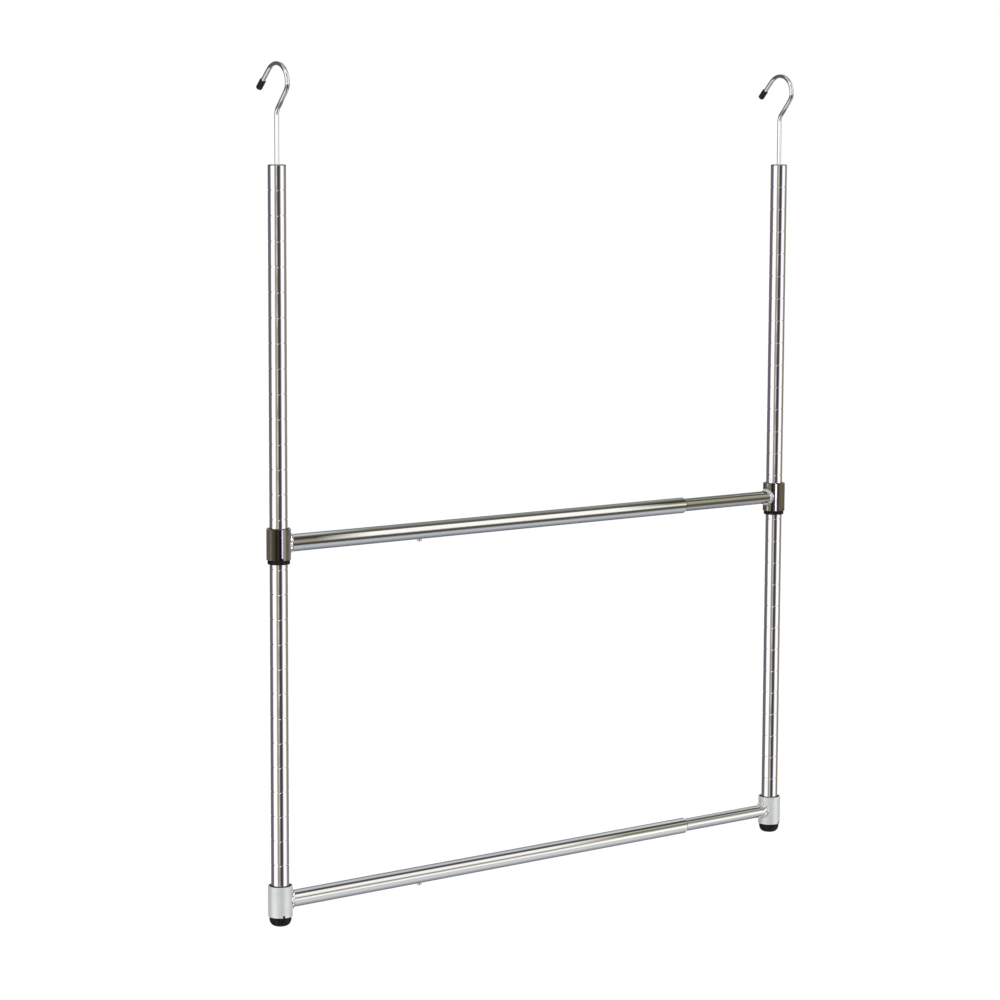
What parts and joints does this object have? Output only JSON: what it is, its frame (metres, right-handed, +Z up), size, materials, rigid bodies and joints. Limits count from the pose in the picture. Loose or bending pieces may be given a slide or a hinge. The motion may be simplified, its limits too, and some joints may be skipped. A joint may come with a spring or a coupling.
{
  "type": "closet rod",
  "caption": "Hanging two-tier closet rod: grooved chrome uprights on swivel wire hooks carry telescoping rails on wedge collars.",
  "frame": {"origin": "the point of the left hook that bears on the closet rod, straight above the left upright's axis", "axes": "+X along the rails from the left upright to the right one, +Y to the back, where the hooks' free ends point, +Z up along the uprights"},
  "size_m": [0.7154, 0.0548, 0.8771],
  "materials": {
    "chrome_tube": "polished chrome plate",
    "chrome_collar": "polished chrome plate over a weld",
    "chrome_wire": "polished chrome plate",
    "chrome_cap": "polished chrome plate",
    "black_plastic": "satin moulded plastic",
    "black_vinyl": "dull dipped vinyl",
    "button_steel": "turned steel",
    "spring_steel": "spring steel strip"
  },
  "bodies": {
    "left_frame": {"left_upright": "chrome_tube", "left_top_cap": "chrome_cap", "left_foot": "black_plastic", "mid_left_sleeve_front": "black_plastic", "mid_left_sleeve_back": "black_plastic"},
    "right_frame": {"right_upright": "chrome_tube", "right_top_cap": "chrome_cap", "right_foot": "black_plastic", "mid_right_sleeve_front": "black_plastic", "mid_right_sleeve_back": "black_plastic"},
    "mid_rail_left": {"mid_left_collar": "chrome_collar", "mid_outer_tube": "chrome_tube"},
    "mid_rail_right": {"mid_right_collar": "chrome_collar", "mid_inner_tube": "chrome_tube", "mid_button_spring": "spring_steel"},
    "bottom_rail_left": {"bottom_left_collar": "chrome_collar", "bottom_outer_tube": "chrome_tube"},
    "bottom_rail_right": {"bottom_right_collar": "chrome_collar", "bottom_inner_tube": "chrome_tube", "bottom_button_spring": "spring_steel"},
    "mid_button": {"mid_button": "button_steel"},
    "bottom_button": {"bottom_button": "button_steel"},
    "left_hook": {"left_hook": "chrome_wire", "left_hook_tip": "black_vinyl", "left_hook_retainer": "spring_steel"},
    "right_hook": {"right_hook": "chrome_wire", "right_hook_tip": "black_vinyl", "right_hook_retainer": "spring_steel"}
  },
  "joints": [
    {"name": "width_slide", "type": "slide", "parent": "left_frame", "child": "right_frame", "axis": [1, 0, 0], "range_m": [-0.1016, 0.2032]},
    {"name": "mid_lift", "type": "slide", "parent": "left_frame", "child": "mid_rail_left", "axis": [0, 0, 1], "range_m": [0, 0.35]},
    {"name": "mid_lift_right", "type": "slide", "parent": "right_frame", "child": "mid_rail_right", "axis": [0, 0, 1], "range_m": [0, 0.35]},
    {"name": "bottom_lift", "type": "slide", "parent": "left_frame", "child": "bottom_rail_left", "axis": [0, 0, 1], "range_m": [0, 0.32]},
    {"name": "bottom_lift_right", "type": "slide", "parent": "right_frame", "child": "bottom_rail_right", "axis": [0, 0, 1], "range_m": [0, 0.32]},
    {"name": "mid_button_press", "type": "slide", "parent": "mid_rail_right", "child": "mid_button", "axis": [0, 0, 1], "range_m": [0, 0.0038], "stiffness_N_per_m": 1200, "springref_m": -0.002, "deforming": ["mid_button_spring"]},
    {"name": "bottom_button_press", "type": "slide", "parent": "bottom_rail_right", "child": "bottom_button", "axis": [0, 0, 1], "range_m": [0, 0.0038], "stiffness_N_per_m": 1200, "springref_m": -0.002, "deforming": ["bottom_button_spring"]},
    {"name": "left_hook_swivel", "type": "hinge", "parent": "left_frame", "child": "left_hook", "pos_m": [0, 0, -0.097], "axis": [0, 0, 1], "continuous": true},
    {"name": "right_hook_swivel", "type": "hinge", "parent": "right_frame", "child": "right_hook", "pos_m": [0.69, 0, -0.097], "axis": [0, 0, 1], "continuous": true}
  ],
  "couplings": [
    {"joint": "mid_lift_right", "follows": "mid_lift", "ratio": 1},
    {"joint": "bottom_lift_right", "follows": "bottom_lift", "ratio": 1}
  ]
}
